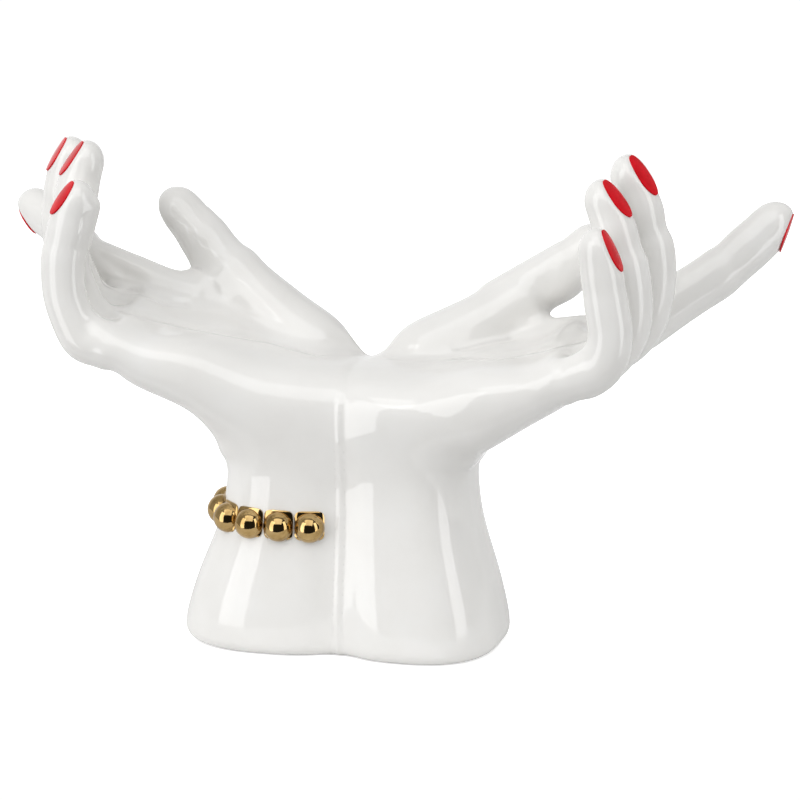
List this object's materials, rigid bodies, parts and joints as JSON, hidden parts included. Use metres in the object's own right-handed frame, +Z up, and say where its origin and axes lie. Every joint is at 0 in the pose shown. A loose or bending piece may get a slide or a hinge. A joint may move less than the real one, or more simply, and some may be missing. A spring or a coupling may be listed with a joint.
{
  "type": "ceramic hand sculpture",
  "caption": "Free-standing glazed ceramic sculpture of two open hands, palms up and joined at the wrists, with red nails and a gilded beaded bracelet.",
  "frame": {"origin": "on the table, in the seam plane where the two arm castings meet, midway front to back", "axes": "+X towards the right hand as seen from the front, +Y towards the thumbs at the back, +Z up"},
  "size_m": [0.3567, 0.1072, 0.2187],
  "materials": {
    "white_glaze": "high-gloss warm white glaze on a slip-cast body",
    "red_enamel": "glossy red on-glaze enamel",
    "gold_lustre": "mirror gold lustre fired over the glaze",
    "bare_ceramic": "unglazed biscuit, matt"
  },
  "bodies": {
    "root": {"left_arm_casting": "white_glaze", "left_base_slab": "bare_ceramic", "left_thumb": "white_glaze", "left_thumb_nail": "red_enamel", "left_index_finger": "white_glaze", "left_index_finger_nail": "red_enamel", "left_middle_finger": "white_glaze", "left_middle_finger_nail": "red_enamel", "left_ring_finger": "white_glaze", "left_ring_finger_nail": "red_enamel", "left_little_finger": "white_glaze", "left_little_finger_nail": "red_enamel", "right_arm_casting": "white_glaze", "right_base_slab": "bare_ceramic", "right_thumb": "white_glaze", "right_thumb_nail": "red_enamel", "right_index_finger": "white_glaze", "right_index_finger_nail": "red_enamel", "right_middle_finger": "white_glaze", "right_middle_finger_nail": "red_enamel", "right_ring_finger": "white_glaze", "right_ring_finger_nail": "red_enamel", "right_little_finger": "white_glaze", "right_little_finger_nail": "red_enamel", "bracelet_beads": "gold_lustre", "bracelet_links": "gold_lustre", "luting_seam": "white_glaze"}
  },
  "joints": []
}
